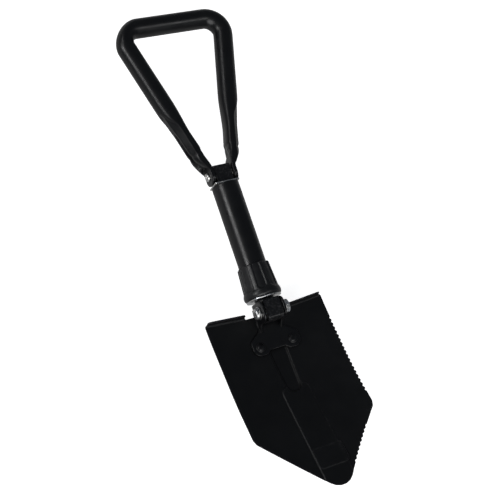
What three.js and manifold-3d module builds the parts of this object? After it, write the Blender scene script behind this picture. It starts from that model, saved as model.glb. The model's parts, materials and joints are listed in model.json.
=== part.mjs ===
// Folding camp shovel, lying on its back: X across the blade, Y along the shaft
// from the blade tip to the hand bar, Z up on the hollow side of the blade.
// Millimetres. Every piece is laid out in a design frame whose Y axis is the shaft
// axis and whose y = 0 is the level of the blade hinge pin.

import * as THREE from 'three';
import { mergeVertices } from 'three/addons/utils/BufferGeometryUtils.js';
import Module from 'manifold-3d';

const wasm = await Module();
wasm.setup();

// ---- driving dimensions -------------------------------------------------------

const GAP = 0.3; // clearance kept between neighbouring pieces
const ROUND = 24; // facets of a round piece
const THROUGH = 40; // reach of a cutting tool that goes right through

// Shaft
const TUBE_R = 16;
const TUBE_WALL = 1.5;
const HANDLE_PIN_Y = 166.5; // hinge of the D handle
const PLATE_TOP_Y = 155.2;
const PLATE_THICKNESS = 1.5;
const PLATE_HALF = { x: 15, z: 12.2 };
const SLEEVE_FOOT_Y = 36; // lower end of the threaded sleeve
const TUBE_FOOT_Y = 50.5;
const ROD_R = 5;
const ROD_ENDS_Y = [18, 148];
const CROSS_PIN_R = 2;
const CROSS_PINS_Y = { lower: 26, upper: 142 };
const TUBE_DROP = 9.5; // travel of the shaft tube while the handle folds

// Locking collar
const WASHER_FOOT_Y = 14.6;
const WASHER_THICKNESS = 1.6;
const WASHER_R = 20.2;
const COLLAR_TOP_Y = 54.5;
const COLLAR_LIP_R = 21.8;
const COLLAR_TOP_R = 18.6;
const COLLAR_BORE_R = 16.35;
const THREAD_PITCH = 3;
const FLUTES = 8;
const FLUTE_TURN = 9.5; // degrees from the front to the nearest ridge
const FLUTE = { floor: 18, r: 16 }; // the collar's hollows between its ridges

// Blade hinge
const BLADE_PIN_Z = 8; // the pin lies in front of the shaft axis
const BLOCK_HALF_X = 9.5;
const NECK_R = 11;
const EAR_FLAT = 12.2; // pin to the ear's top and front flats
const EAR_X = [11.1, 14.1];
const BOLT_R = 4;
const BOLT_WASHER = 1.2;

// Blade, laid out from the hinge pin
const SHEET = 2;
const BLADE_DEPTH = 20.5; // pin to the middle of the sheet at the hinge
const BLADE_HALF_WIDTH = 72.4;
const BLADE_CURVE = 0.0017; // forward rise per squared millimetre below the hinge
const CURVE_END = 110; // the last stretch to the tip is straight
const BLADE_DISH = 8; // rise of the side edges over the middle
const SHOULDER_Y = -130.3; // where the straight sides end
const TIP_Y = -207; // where the lower edges would meet
const TIP_R = 18;
const TREAD_X = [25, 69.5];
const TREAD_TOP = 4.3; // at the tread's inner end
const TREAD_SLOPE = 0.068;
const TREAD_HEIGHT = 10;
const RIVET_X = 20;
const RIVET_Y = -35.2;
const RIVET_R = 2.5;
const BRACKET_SHEET = 2.5;
const TONGUE_DEPTH = 2.4; // pressed in from the front
const PANEL_HEIGHT = 1.0; // pressed out from the back
const PAD_HEIGHT = 0.5; // the step pad near the tip stands proud of the panel

// D handle, in its own frame with the handle pin as origin
const GRIP_R = 11.6;
const GRIP_WALL = 1.2;
const BAR_Y = 195.1;
const BAR_HALF = 67.4; // half length of the bar between the corner points
const LEG_SLOPE = 0.2686; // sideways run of a leg per unit of its height
const CORNER_R = 20;
const LEG_FOOT_Y = 26;
const LEG_SQUEEZE = 0.32; // how much narrower a leg is at its foot
const LUG_X = [11.1, 16.4];
const LUG_END = 10.5; // pin to the flat end of the lug
const LUG_HALF_Z = 12;
const HANDLE_FOLD = 170; // degrees

// ---- finishes -------------------------------------------------------------------

const finish = {
  coat: () => new THREE.MeshStandardMaterial({ color: 0x131416, roughness: 0.42, metalness: 0.2 }),
  nylon: () => new THREE.MeshStandardMaterial({ color: 0x17181a, roughness: 0.5, metalness: 0 }),
  zinc: () => new THREE.MeshStandardMaterial({ color: 0xc9ccd0, roughness: 0.3, metalness: 1 }),
  steel: () => new THREE.MeshStandardMaterial({ color: 0x8d9094, roughness: 0.4, metalness: 1 }),
  polymer: () => new THREE.MeshStandardMaterial({ color: 0xd8d6cc, roughness: 0.6, metalness: 0 }),
};

// ---- solids ---------------------------------------------------------------------

function solid(geometry) {
  const bare = geometry.index ? geometry.toNonIndexed() : geometry.clone();
  bare.deleteAttribute('normal');
  bare.deleteAttribute('uv');
  const merged = mergeVertices(bare, 1e-4);
  return new wasm.Manifold(new wasm.Mesh({
    numProp: 3,
    vertProperties: new Float32Array(merged.attributes.position.array),
    triVerts: new Uint32Array(merged.index.array),
  }));
}

function geometryOf(body) {
  const mesh = body.getMesh();
  const geometry = new THREE.BufferGeometry();
  const positions = new Float32Array(mesh.vertProperties);
  geometry.setAttribute('position', new THREE.BufferAttribute(positions, 3));
  geometry.setIndex(new THREE.BufferAttribute(new Uint32Array(mesh.triVerts), 1));
  geometry.computeVertexNormals();
  return geometry;
}

function join(first, ...others) {
  return geometryOf(others.reduce((body, other) => body.add(solid(other)), solid(first)));
}

function cut(first, ...others) {
  return geometryOf(others.reduce((body, other) => body.subtract(solid(other)), solid(first)));
}

// A ring turned about the Y axis from a closed [radius, y] profile.
function turned(profile, segments = ROUND) {
  const points = profile.map(([r, y]) => new THREE.Vector2(r, y));
  points.push(points[0].clone());
  return new THREE.LatheGeometry(points, segments);
}

function ring(inner, outer, y0, y1, segments = ROUND) {
  return turned([[inner, y0], [outer, y0], [outer, y1], [inner, y1]], segments);
}

function rodY(radius, y0, y1, segments = ROUND) {
  return new THREE.CylinderGeometry(radius, radius, y1 - y0, segments).translate(0, (y0 + y1) / 2, 0);
}

function rodX(radius, x0, x1, segments = 24) {
  return rodY(radius, x0, x1, segments).rotateZ(-Math.PI / 2);
}

function rodZ(radius, z0, z1, segments = 24) {
  return rodY(radius, z0, z1, segments).rotateX(Math.PI / 2);
}

function block(x, y, z) {
  const geometry = new THREE.BoxGeometry(x[1] - x[0], y[1] - y[0], z[1] - z[0]);
  return geometry.translate((x[0] + x[1]) / 2, (y[0] + y[1]) / 2, (z[0] + z[1]) / 2);
}

// A closed outline through corners [a, b, radius], each corner rounded by an arc.
function outline(corners) {
  const shape = new THREE.Shape();
  const count = corners.length;
  corners.forEach(([a, b, radius = 0], i) => {
    const corner = new THREE.Vector2(a, b);
    if (radius === 0) {
      if (i === 0) shape.moveTo(a, b);
      else shape.lineTo(a, b);
      return;
    }
    const before = new THREE.Vector2(...corners[(i + count - 1) % count]).sub(corner).normalize();
    const after = new THREE.Vector2(...corners[(i + 1) % count]).sub(corner).normalize();
    const half = Math.acos(before.dot(after)) / 2;
    const reach = radius / Math.tan(half);
    const centre = before.clone().add(after).normalize().multiplyScalar(radius / Math.sin(half)).add(corner);
    const start = before.clone().multiplyScalar(reach).add(corner);
    const end = after.clone().multiplyScalar(reach).add(corner);
    if (i === 0) shape.moveTo(start.x, start.y);
    else shape.lineTo(start.x, start.y);
    shape.absarc(
      centre.x,
      centre.y,
      radius,
      Math.atan2(start.y - centre.y, start.x - centre.x),
      Math.atan2(end.y - centre.y, end.x - centre.x),
      before.cross(after) > 0,
    );
  });
  shape.closePath();
  return shape;
}

// An XY outline with thickness from z0 to z1.
function sheetZ(shape, z0, z1, curveSegments = 6) {
  const options = { depth: z1 - z0, bevelEnabled: false, curveSegments };
  return new THREE.ExtrudeGeometry(shape, options).translate(0, 0, z0);
}

// A YZ outline with thickness from x0 to x1.
function sheetX(shape, x0, x1, curveSegments = 6) {
  const turn = new THREE.Matrix4().makeBasis(
    new THREE.Vector3(0, 1, 0),
    new THREE.Vector3(0, 0, 1),
    new THREE.Vector3(1, 0, 0),
  );
  return sheetZ(shape, x0, x1, curveSegments).applyMatrix4(turn);
}

function mirrored(geometry) {
  const copy = geometry.clone().scale(-1, 1, 1);
  const index = copy.index;
  if (index) {
    for (let i = 0; i < index.count; i += 3) {
      const first = index.getX(i);
      index.setX(i, index.getX(i + 2));
      index.setX(i + 2, first);
    }
    return copy;
  }
  const position = copy.attributes.position;
  for (let i = 0; i < position.count; i += 3) {
    const first = new THREE.Vector3().fromBufferAttribute(position, i);
    const last = new THREE.Vector3().fromBufferAttribute(position, i + 2);
    position.setXYZ(i, last.x, last.y, last.z);
    position.setXYZ(i + 2, first.x, first.y, first.z);
  }
  return copy;
}

function piece(parent, name, geometry, material) {
  const mesh = new THREE.Mesh(geometry, material);
  mesh.name = name;
  parent.add(mesh);
  return mesh;
}

// ---- core: the two hinge blocks tied by the rod --------------------------------

function bladeHingeBlock() {
  const [foot, front] = [-11.5, 19];
  const side = outline([
    [EAR_FLAT, -8],
    [EAR_FLAT, front, 1.5],
    [foot, front, 4],
    [foot, -1.5, 5],
    [-4, -5.2, 2],
  ]);
  const neckTop = 31;
  const body = sheetX(side, -BLOCK_HALF_X, BLOCK_HALF_X);
  const neck = rodY(NECK_R, EAR_FLAT - 2, neckTop);
  const rodHole = rodY(ROD_R + GAP, ROD_ENDS_Y[0] - GAP, neckTop + 1, 24);
  const boltHole = rodX(BOLT_R + GAP, -THROUGH, THROUGH).translate(0, 0, BLADE_PIN_Z);
  const crossHole = rodZ(CROSS_PIN_R + GAP, -THROUGH, THROUGH, 12).translate(0, CROSS_PINS_Y.lower, 0);
  return cut(join(body, neck), rodHole, boltHole, crossHole);
}

function handleHingeBlock() {
  const foot = PLATE_TOP_Y + 0.4;
  const top = HANDLE_PIN_Y + 10.2;
  const half = { x: 9.8, z: 9 };
  const face = outline([
    [foot, -half.z, 1],
    [top, -half.z, 2.5],
    [top, half.z, 2.5],
    [foot, half.z, 1],
  ]);
  const neckFoot = 136;
  const body = sheetX(face, -half.x, half.x);
  const neck = rodY(9.6, neckFoot, foot + 2);
  const rodHole = rodY(ROD_R + GAP, neckFoot - 1, ROD_ENDS_Y[1] + GAP, 24);
  const rivetHole = rodX(BOLT_R, -THROUGH, THROUGH).translate(0, HANDLE_PIN_Y, 0);
  const crossHole = rodZ(CROSS_PIN_R + GAP, -THROUGH, THROUGH, 12).translate(0, CROSS_PINS_Y.upper, 0);
  return cut(join(body, neck), rodHole, rivetHole, crossHole);
}

function tensionRod() {
  const hole = rodZ(CROSS_PIN_R + GAP, -THROUGH, THROUGH, 12);
  const holes = Object.values(CROSS_PINS_Y).map((y) => hole.clone().translate(0, y, 0));
  return cut(rodY(ROD_R, ...ROD_ENDS_Y, 24), ...holes);
}

// A round-headed rivet along X whose hollow ends show as a ring.
function rivetX(shankR, headR, grip, headHeight) {
  const tip = grip + headHeight;
  const half = [
    [shankR, 0],
    [shankR, grip],
    [headR, grip],
    [headR * 0.94, grip + headHeight * 0.55],
    [headR * 0.7, tip],
    [shankR * 0.62, tip],
    [shankR * 0.5, tip - 2.2],
    [0, tip - 2.2],
  ];
  const points = [
    ...half.slice().reverse().map(([r, y]) => new THREE.Vector2(r, -y)),
    ...half.slice(1).map(([r, y]) => new THREE.Vector2(r, y)),
  ];
  return new THREE.LatheGeometry(points, 16).rotateZ(-Math.PI / 2);
}

function hingeBolt() {
  const head = EAR_X[1] + GAP + BOLT_WASHER + GAP;
  const profile = [
    [0, -head - 4.2],
    [4.2, -head - 4.2],
    [6, -head - 3.2],
    [6.5, -head - 1.4],
    [6.5, -head],
    [BOLT_R, -head],
    [BOLT_R, head + 5.6],
    [BOLT_R - 0.7, head + 6.3],
    [0, head + 6.3],
  ];
  const points = profile.map(([r, y]) => new THREE.Vector2(r, y));
  return new THREE.LatheGeometry(points, 24).rotateZ(-Math.PI / 2);
}

function hingeNut() {
  const foot = EAR_X[1] + GAP + BOLT_WASHER + GAP;
  const [thickness, cornerR] = [5, 7.2];
  const hexagon = outline(Array.from({ length: 6 }, (_, k) => {
    const angle = (k * Math.PI) / 3;
    return [cornerR * Math.cos(angle), cornerR * Math.sin(angle)];
  }));
  return cut(sheetX(hexagon, foot, foot + thickness), rodX(BOLT_R + GAP, -THROUGH, THROUGH));
}

function discX(inner, outer, x0, x1) {
  return ring(inner, outer, x0, x1, 18).rotateZ(-Math.PI / 2);
}

// ---- sliding shaft tube ----------------------------------------------------------

function shaftTube() {
  const top = PLATE_TOP_Y - PLATE_THICKNESS - GAP;
  return ring(TUBE_R - TUBE_WALL, TUBE_R, TUBE_FOOT_Y, top);
}

function threadedSleeve() {
  const crest = TUBE_R - 0.1;
  const root = crest - 0.8;
  const bore = 12.6;
  const top = 66;
  const profile = [[bore, SLEEVE_FOOT_Y]];
  for (let y = SLEEVE_FOOT_Y; y + THREAD_PITCH < TUBE_FOOT_Y - GAP; y += THREAD_PITCH) {
    profile.push([root, y], [crest, y + THREAD_PITCH * 0.35], [crest, y + THREAD_PITCH * 0.65]);
  }
  const spigot = TUBE_R - TUBE_WALL - GAP;
  profile.push([root, TUBE_FOOT_Y - GAP], [spigot, TUBE_FOOT_Y - GAP], [spigot, top], [bore, top]);
  return turned(profile);
}

function bearingPlate() {
  const { x, z } = PLATE_HALF;
  const shape = outline([[-x, -z, 2], [x, -z, 2], [x, z, 2], [-x, z, 2]]);
  const foot = PLATE_TOP_Y - PLATE_THICKNESS;
  const [spigotLength, bore] = [4, 10];
  const plate = sheetZ(shape, 0, PLATE_THICKNESS, 3).rotateX(-Math.PI / 2).translate(0, foot, 0);
  const spigot = rodY(TUBE_R - TUBE_WALL - GAP, foot - spigotLength, foot + PLATE_THICKNESS / 2);
  return cut(join(plate, spigot), rodY(bore, foot - spigotLength - 1, foot + PLATE_THICKNESS + 1));
}

function guideBush(y) {
  const height = 8;
  return ring(ROD_R + 0.4, TUBE_R - TUBE_WALL - GAP, y, y + height);
}

// ---- locking collar ----------------------------------------------------------------

function thrustWasher() {
  const top = WASHER_FOOT_Y + WASHER_THICKNESS;
  const bore = NECK_R + 0.4;
  const bossR = 13.2;
  const [grooveR, grooveFoot, grooveTop, bossTop] = [12.3, 19.5, 20.9, 22];
  return turned([
    [bore, WASHER_FOOT_Y],
    [WASHER_R - 0.5, WASHER_FOOT_Y],
    [WASHER_R, WASHER_FOOT_Y + 0.5],
    [WASHER_R, top],
    [bossR, top],
    [bossR, grooveFoot],
    [grooveR, grooveFoot],
    [grooveR, grooveTop],
    [bossR, grooveTop],
    [bossR, bossTop],
    [bore, bossTop],
  ]);
}

function retainingRing() {
  return cut(ring(12.6, 15.6, 19.8, 20.6), block([-2, 2], [19, 22], [8, 20]));
}

function lockingCollar() {
  const foot = WASHER_FOOT_Y + WASHER_THICKNESS + GAP;
  const profile = [
    [13.7, foot],
    [COLLAR_LIP_R - 2.2, foot],
    [COLLAR_LIP_R - 0.5, foot + 1.2],
    [COLLAR_LIP_R, foot + 3.2],
    [COLLAR_LIP_R, foot + 7],
    [COLLAR_LIP_R - 1, foot + 9],
    [COLLAR_TOP_R + 0.3, COLLAR_TOP_Y - 3],
    [COLLAR_TOP_R - 0.7, COLLAR_TOP_Y],
    [COLLAR_BORE_R, COLLAR_TOP_Y],
  ];
  for (let y = 49; y > SLEEVE_FOOT_Y; y -= THREAD_PITCH) {
    const grooveR = COLLAR_BORE_R + 0.6;
    profile.push([COLLAR_BORE_R, y], [grooveR, y - THREAD_PITCH / 4], [COLLAR_BORE_R, y - THREAD_PITCH / 2]);
  }
  const [chamberR, chamberTop, chamberFoot] = [17.4, 30, 19.2];
  profile.push([COLLAR_BORE_R, chamberTop + 1], [chamberR, chamberTop]);
  profile.push([chamberR, chamberFoot], [13.7, chamberFoot]);
  const flute = rodY(FLUTE.r, foot + 9.5, COLLAR_TOP_Y + 5, 32);
  const flutes = Array.from({ length: FLUTES }, (_, k) => {
    const geometry = flute.clone().translate(0, 0, FLUTE.floor + FLUTE.r);
    return geometry.rotateY(THREE.MathUtils.degToRad(FLUTE_TURN) + (2 * Math.PI * (k + 0.5)) / FLUTES);
  });
  return cut(turned(profile, 30), ...flutes);
}

// ---- blade, from its hinge pin ---------------------------------------------------

// How far the sheet's middle stands in front of its level at the hinge.
function bladeRise(x, y) {
  const below = Math.max(-y, 0);
  const curved = Math.min(below, CURVE_END);
  const straight = 2 * BLADE_CURVE * CURVE_END * (below - curved);
  const dish = BLADE_DISH * (x / BLADE_HALF_WIDTH) ** 2 * THREE.MathUtils.smoothstep(-y, -30, 60);
  return BLADE_CURVE * curved ** 2 + straight + dish;
}

// Bends a flat piece to the blade's curve.
function lifted(geometry) {
  const position = geometry.attributes.position;
  for (let i = 0; i < position.count; i += 1) {
    position.setZ(i, position.getZ(i) + bladeRise(position.getX(i), position.getY(i)));
  }
  return geometry;
}

// A layer of the curved blade, from z0 to z1 measured from the sheet's middle.
function bladeLayer(z0, z1) {
  const [width, foot, top] = [2 * BLADE_HALF_WIDTH + 15, TIP_Y - 17, EAR_FLAT + 4];
  const layer = new THREE.BoxGeometry(width, top - foot, z1 - z0, 12, 16, 1);
  return lifted(layer.translate(0, (foot + top) / 2, (z0 + z1) / 2 - BLADE_DEPTH));
}

// The part of a blade layer inside every one of the XY outlines.
function pressedFrom(z0, z1, ...outlines) {
  const prisms = outlines.map((shape) => solid(sheetZ(shape, -60, 80)));
  return geometryOf(prisms.reduce((body, prism) => body.intersect(prism), solid(bladeLayer(z0, z1))));
}

// Stands a piece that was made about the Z axis on the sheet at x, y.
function onBlade(geometry, x, y) {
  const slope = (bladeRise(x, y - 1) - bladeRise(x, y + 1)) / 2;
  return geometry.rotateX(-Math.atan(slope)).translate(x, y, bladeRise(x, y) - BLADE_DEPTH);
}

function rivetHoles() {
  const tool = rodZ(RIVET_R + GAP, -8, 9, 16);
  return [-1, 1].map((side) => onBlade(tool.clone(), side * RIVET_X, RIVET_Y));
}

const treadTop = (x) => TREAD_TOP + TREAD_SLOPE * (x - TREAD_X[0]);

// Saw teeth and scallops bite inwards from the right-hand edges.
function bladeOutline() {
  const shape = new THREE.Shape();
  const w = BLADE_HALF_WIDTH;
  const shoulder = new THREE.Vector2(w, SHOULDER_Y);
  const tip = new THREE.Vector2(0, TIP_Y);
  const along = tip.clone().sub(shoulder).normalize();
  const inward = new THREE.Vector2(-1, 1).normalize();
  const lean = Math.atan2(shoulder.y - TIP_Y, w); // slope of the lower edges
  const tipCentreY = TIP_Y + TIP_R / Math.cos(lean);
  const cornerR = 5;
  const corner = treadTop(w) - SHEET;
  const blunt = { x: 1.8, y: 2.6 }; // the shoulders are blunted
  shape.moveTo(-TREAD_X[0] + 1, 0);
  shape.lineTo(-TREAD_X[0], treadTop(TREAD_X[0]) - SHEET);
  shape.lineTo(-w + cornerR, corner);
  shape.absarc(-w + cornerR, corner - cornerR, cornerR, Math.PI / 2, Math.PI, false);
  shape.lineTo(-w, SHOULDER_Y + blunt.y);
  shape.lineTo(-w + blunt.x, SHOULDER_Y - blunt.y);
  shape.absarc(0, tipCentreY, TIP_R, Math.PI + (Math.PI / 2 - lean), 1.5 * Math.PI + lean, false);
  const scallops = { count: 9, pitch: 5.2, first: 26, bridge: 1.2, depth: 1.2 };
  for (let k = scallops.count - 1; k >= 0; k -= 1) {
    const base = shoulder.clone().addScaledVector(along, scallops.first + k * scallops.pitch);
    const far = base.clone().addScaledVector(along, scallops.pitch - scallops.bridge);
    const middle = base.clone().add(far).multiplyScalar(0.5).addScaledVector(inward, scallops.depth);
    shape.lineTo(far.x, far.y);
    shape.lineTo(middle.x, middle.y);
    shape.lineTo(base.x, base.y);
  }
  shape.lineTo(w - blunt.x, SHOULDER_Y - blunt.y);
  shape.lineTo(w, SHOULDER_Y + blunt.y);
  const teeth = { count: 19, pitch: 4.95, first: -116, depth: 1.4 };
  for (let k = 0; k < teeth.count; k += 1) {
    const y = teeth.first + k * teeth.pitch;
    shape.lineTo(w, y);
    shape.lineTo(w - teeth.depth, y + teeth.pitch * 0.35);
    shape.lineTo(w, y + teeth.pitch * 0.7);
  }
  shape.lineTo(w, corner - cornerR);
  shape.absarc(w - cornerR, corner - cornerR, cornerR, 0, Math.PI / 2, false);
  shape.lineTo(TREAD_X[0], treadTop(TREAD_X[0]) - SHEET);
  shape.lineTo(TREAD_X[0] - 1, 0);
  shape.closePath();
  return shape;
}

// A foot tread: the sheet's top edge rolled forward.
function tread() {
  const [inner, outer] = TREAD_X;
  const back = -BLADE_DEPTH - SHEET / 2;
  const [front, lip] = [back + SHEET, back + TREAD_HEIGHT];
  const profile = outline([
    [TREAD_TOP - 5.5, back],
    [TREAD_TOP, back, 5],
    [TREAD_TOP, lip, 0.6],
    [TREAD_TOP - SHEET, lip, 0.6],
    [TREAD_TOP - SHEET, front, 3],
    [TREAD_TOP - 5.5, front],
  ]);
  const ends = outline([
    [inner, back - 1],
    [outer, back - 1],
    [outer, lip + 1, 5],
    [inner, lip + 1, 5],
  ]);
  const bar = solid(sheetX(profile, inner - 1, outer + 1, 4));
  const trimmed = geometryOf(bar.intersect(solid(sheetZ(ends, -30, 30, 4).rotateX(Math.PI / 2))));
  trimmed.translate(-inner, 0, 0).rotateZ(Math.atan(TREAD_SLOPE)).translate(inner, 0, 0);
  return lifted(trimmed);
}

// The pressed tongue under the bracket, narrowed all round by an inset.
function tongueOutline(inset) {
  const x = 11 - inset;
  const foot = -93 + inset;
  return outline([
    [-x, -4 - inset],
    [-x, -52, 20],
    [-x + 2.5, foot, 7],
    [x - 2.5, foot, 7],
    [x, -52, 20],
    [x, -4 - inset],
  ]);
}

// The pressed middle panel, which runs out at the tip.
function panelOutline(inset) {
  const x = 17 - inset;
  const top = -84 - inset;
  const beyondTip = TIP_Y - 8;
  return outline([[-x, beyondTip], [x, beyondTip], [x, top, 8], [-x, top, 8]]);
}

function bladeSheet() {
  const half = SHEET / 2;
  const wall = SHEET - 0.2;
  const edge = bladeOutline();
  const stepPad = outline([[-16.5, -177.6, 4], [19.5, -177.6, 4], [19.5, -156, 3], [-16.5, -156, 3]]);
  const right = tread();
  const blank = join(
    pressedFrom(-half, half, edge),
    right,
    mirrored(right),
    pressedFrom(-half + 0.5, half + PANEL_HEIGHT, panelOutline(0), edge),
  );
  const panelled = cut(blank, pressedFrom(-half - 4, -half + PANEL_HEIGHT, panelOutline(wall)));
  const tongued = join(panelled, pressedFrom(-half - TONGUE_DEPTH, half - 0.1, tongueOutline(0)));
  const pressed = cut(tongued, pressedFrom(half - TONGUE_DEPTH, half + 4, tongueOutline(wall)));
  const padded = join(pressed, pressedFrom(-half, half + PANEL_HEIGHT + PAD_HEIGHT, stepPad));
  return cut(padded, ...rivetHoles());
}

function bladeBracket() {
  const foot = SHEET / 2 + GAP;
  const lobe = 9;
  const waist = RIVET_Y - 5.2; // lower edge between the lobes
  const shoulder = RIVET_Y + 8;
  const web = outline([
    [-EAR_X[1], 8],
    [-EAR_X[1], -17, 6],
    [-RIVET_X - lobe, shoulder, 6],
    [-RIVET_X - lobe, RIVET_Y - lobe, lobe - 0.5],
    [-RIVET_X + 6, RIVET_Y - lobe, 6],
    [-RIVET_X + 10, waist, 3],
    [RIVET_X - 10, waist, 3],
    [RIVET_X - 6, RIVET_Y - lobe, 6],
    [RIVET_X + lobe, RIVET_Y - lobe, lobe - 0.5],
    [RIVET_X + lobe, shoulder, 6],
    [EAR_X[1], -17, 6],
    [EAR_X[1], 8],
  ]);
  const ear = outline([
    [EAR_FLAT, -8, 3],
    [EAR_FLAT, EAR_FLAT, 8],
    [-11.4, EAR_FLAT, 8],
    [-11.4, -6, 6],
    [-26, -24],
    [-4, -24],
  ]);
  const inFront = solid(bladeLayer(foot, foot + 60));
  const right = geometryOf(solid(sheetX(ear, ...EAR_X)).intersect(inFront));
  const bracket = join(pressedFrom(foot, foot + BRACKET_SHEET, web), right, mirrored(right));
  return cut(bracket, rodX(BOLT_R + GAP, -THROUGH, THROUGH), ...rivetHoles());
}

function bracketRivet() {
  const back = -SHEET / 2 - 2 * GAP;
  const front = SHEET / 2 + GAP + BRACKET_SHEET + 2 * GAP;
  const profile = [
    [0, back - 1.6],
    [3.4, back - 1.4],
    [4.6, back],
    [RIVET_R, back],
    [RIVET_R, front],
    [5, front],
    [4.3, front + 1.5],
    [2.4, front + 2.2],
    [0, front + 2.3],
  ];
  const points = profile.map(([r, y]) => new THREE.Vector2(r, y));
  return new THREE.LatheGeometry(points, 16).rotateX(Math.PI / 2);
}

// ---- D handle ---------------------------------------------------------------------

const legX = (y) => BAR_HALF - LEG_SLOPE * (BAR_Y - y);

// A path made of spans, each sampled at its own number of steps.
class SpanPath extends THREE.Curve {
  constructor(spans) {
    super();
    this.spans = spans;
    this.steps = spans.reduce((sum, span) => sum + span.steps, 0);
  }

  getPoint(t, target = new THREE.Vector3()) {
    let place = t * this.steps;
    const span = this.spans.find((candidate) => {
      if (place <= candidate.steps) return true;
      place -= candidate.steps;
      return false;
    }) ?? this.spans[this.spans.length - 1];
    return span.curve.getPoint(Math.min(place / span.steps, 1), target);
  }

  getPointAt(u, target) {
    return this.getPoint(u, target);
  }

  getTangentAt(u, target) {
    return this.getTangent(u, target);
  }
}

function gripPath() {
  const turnAngle = Math.PI / 2 + Math.atan(LEG_SLOPE);
  const reach = CORNER_R * Math.tan(turnAngle / 2);
  const pull = (4 / 3) * Math.tan(turnAngle / 4) * CORNER_R; // control arm of the corner arc
  const down = new THREE.Vector3(-LEG_SLOPE, -1, 0).normalize();
  const corner = new THREE.Vector3(BAR_HALF, BAR_Y, 0);
  const bar = corner.clone().add(new THREE.Vector3(-reach, 0, 0));
  const barArm = bar.clone().add(new THREE.Vector3(pull, 0, 0));
  const leg = corner.clone().addScaledVector(down, reach);
  const legArm = leg.clone().addScaledVector(down, -pull);
  const fullWidthY = 98;
  const squeezed = new THREE.Vector3(legX(fullWidthY), fullWidthY, 0);
  const foot = new THREE.Vector3(legX(LEG_FOOT_Y), LEG_FOOT_Y, 0);
  const left = (v) => new THREE.Vector3(-v.x, v.y, v.z);
  return new SpanPath([
    { steps: 6, curve: new THREE.LineCurve3(left(foot), left(squeezed)) },
    { steps: 1, curve: new THREE.LineCurve3(left(squeezed), left(leg)) },
    { steps: 5, curve: new THREE.CubicBezierCurve3(left(leg), left(legArm), left(barArm), left(bar)) },
    { steps: 1, curve: new THREE.LineCurve3(left(bar), bar) },
    { steps: 5, curve: new THREE.CubicBezierCurve3(bar, barArm, legArm, leg) },
    { steps: 1, curve: new THREE.LineCurve3(leg, squeezed) },
    { steps: 6, curve: new THREE.LineCurve3(squeezed, foot) },
  ]);
}

// The legs are squeezed narrower towards the lugs.
function squeeze(geometry) {
  const position = geometry.attributes.position;
  for (let i = 0; i < position.count; i += 1) {
    const x = position.getX(i);
    const y = position.getY(i);
    const amount = THREE.MathUtils.smoothstep(95 - y, 0, 45);
    if (amount > 0) {
      const centre = Math.sign(x) * legX(y);
      position.setX(i, centre + (x - centre) * (1 - LEG_SQUEEZE * amount));
    }
  }
  return geometry;
}

function dHandle() {
  const section = new THREE.Shape();
  section.absarc(0, 0, GRIP_R, 0, 2 * Math.PI, false);
  const hollow = new THREE.Path();
  hollow.absarc(0, 0, GRIP_R - GRIP_WALL, 0, 2 * Math.PI, true);
  section.holes.push(hollow);
  const path = gripPath();
  const options = { steps: path.steps, extrudePath: path, curveSegments: 7, bevelEnabled: false };
  const loop = squeeze(new THREE.ExtrudeGeometry(section, options));
  const [inner, outer] = LUG_X;
  const lug = outline([
    [inner, -14],
    [inner, 8, 4],
    [legX(22) - 7, 22, 6],
    [legX(36) - 7.4, 36],
    [legX(36) + 7.4, 36],
    [legX(24) + 6.9, 24, 6],
    [outer, 6, 3],
    [outer, -14],
  ]);
  const lugSide = outline([
    [-LUG_END, -LUG_HALF_Z, 9],
    [-LUG_END, LUG_HALF_Z, 9],
    [20, LUG_HALF_Z],
    [36, 9.5, 2],
    [36, -9.5, 2],
    [20, -LUG_HALF_Z],
  ]);
  const strap = solid(sheetZ(lug, -20, 20)).intersect(solid(sheetX(lugSide, 0, 60, 8)));
  const right = geometryOf(strap);
  const joined = join(loop, right, mirrored(right));
  const tools = [rodX(BOLT_R, -THROUGH, THROUGH)];
  const drain = { y: 46, r: 2 };
  [-1, 1].forEach((side) => {
    tools.push(rodZ(drain.r, -16, -6, 12).translate(side * legX(drain.y), drain.y, 0));
  });
  // Room for the shaft tube between the legs as the handle folds back over it.
  for (let angle = HANDLE_FOLD - 30; angle <= HANDLE_FOLD; angle += 15) {
    const drop = (TUBE_DROP * angle) / HANDLE_FOLD;
    const start = HANDLE_PIN_Y - PLATE_TOP_Y + drop - 2 * GAP;
    const turn = THREE.MathUtils.degToRad(180 - angle);
    const plate = { x: PLATE_HALF.x + 0.7, z: PLATE_HALF.z + 0.8, y: PLATE_THICKNESS + 2.5 };
    tools.push(rodY(TUBE_R + 1.1, start, start + 60, 20).rotateX(-turn));
    tools.push(block([-plate.x, plate.x], [start, start + plate.y], [-plate.z, plate.z]).rotateX(-turn));
  }
  return cut(joined, ...tools);
}

// ---- assembly -----------------------------------------------------------------------

const shovel = new THREE.Group();

piece(shovel, 'blade_hinge_block', bladeHingeBlock(), finish.coat());
piece(shovel, 'handle_hinge_block', handleHingeBlock(), finish.coat());
piece(shovel, 'tension_rod', tensionRod(), finish.steel());
piece(shovel, 'rod_pin_lower', rodZ(CROSS_PIN_R, -10.4, 10.4, 12), finish.steel())
  .position.y = CROSS_PINS_Y.lower;
piece(shovel, 'rod_pin_upper', rodZ(CROSS_PIN_R, -9, 9, 12), finish.steel())
  .position.y = CROSS_PINS_Y.upper;

const bladePin = new THREE.Group();
bladePin.position.z = BLADE_PIN_Z;
shovel.add(bladePin);
piece(bladePin, 'blade_hinge_bolt', hingeBolt(), finish.zinc());
piece(bladePin, 'blade_hinge_nut', hingeNut(), finish.zinc());

const handlePin = new THREE.Group();
handlePin.position.y = HANDLE_PIN_Y;
shovel.add(handlePin);
piece(handlePin, 'handle_hinge_rivet', rivetX(BOLT_R - GAP, 5, LUG_X[1] + GAP, 2.5), finish.zinc());

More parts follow.
